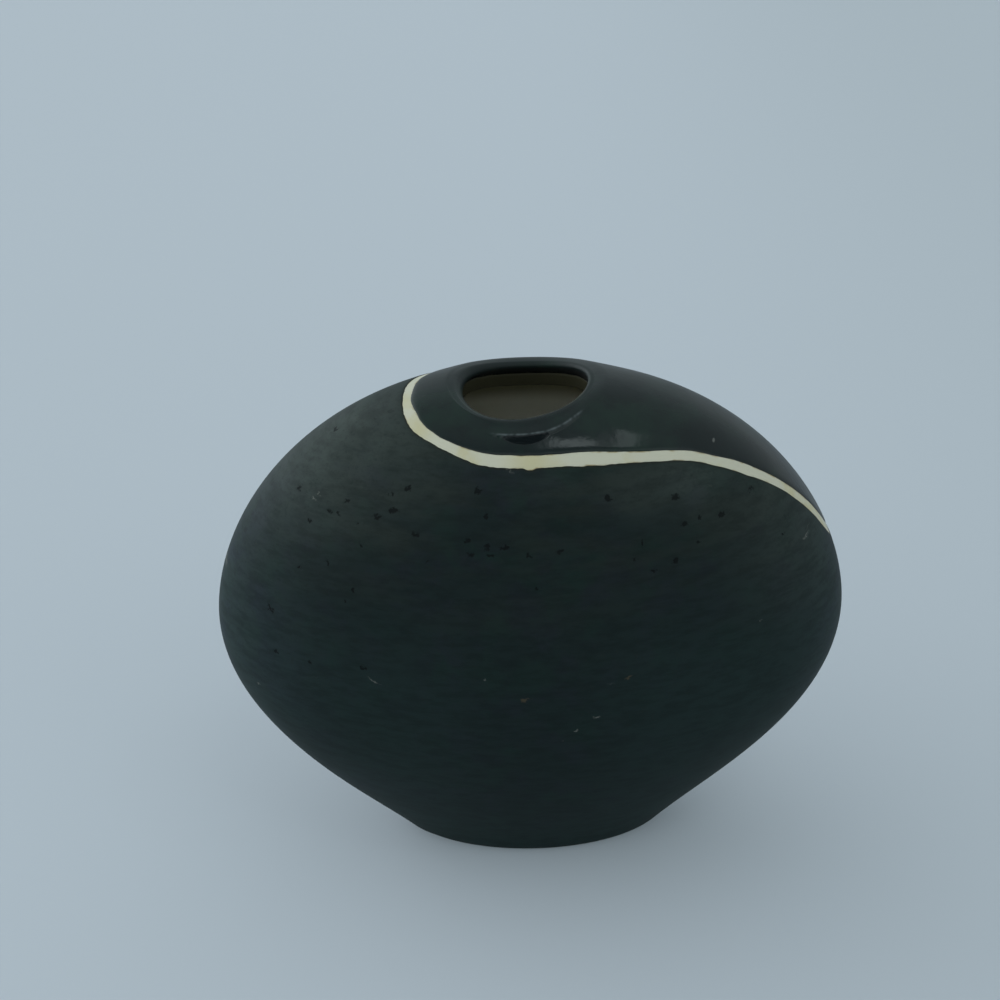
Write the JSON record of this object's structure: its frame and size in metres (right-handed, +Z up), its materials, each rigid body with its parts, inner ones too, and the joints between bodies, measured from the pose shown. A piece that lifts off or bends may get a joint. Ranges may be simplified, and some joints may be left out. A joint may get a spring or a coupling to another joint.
{
  "type": "canteen vase",
  "caption": "Flattened pebble-shaped ceramic flower vase with a small raised round mouth, matt dark body, gloss dark shoulder and a cream inlay line between them.",
  "frame": {"origin": "on the table under the middle of the oval foot", "axes": "+X along the width, to the right in the picture; -Y towards the front, where the picture is taken from; +Z up"},
  "size_m": [0.25, 0.13, 0.2063],
  "materials": {
    "bare_clay": "bare fired clay, dry and slightly grainy",
    "seam_slip": "fired luting slip, dry",
    "matt_glaze": "satin-matt green-black coat with fine pits and rubbed edges",
    "gloss_glaze": "gloss blue-black glaze",
    "cream_inlay": "cream inlay with a soft satin face",
    "liner_glaze": "thin clear glaze over pale clay"
  },
  "bodies": {
    "root": {"foot_slab": "bare_clay", "front_half": "bare_clay", "back_half": "bare_clay", "slip_seam_left": "seam_slip", "slip_seam_right": "seam_slip", "mouth_collar": "bare_clay", "liner_glaze": "liner_glaze", "body_glaze": "matt_glaze", "shoulder_glaze": "gloss_glaze", "cream_line": "cream_inlay"}
  },
  "joints": []
}
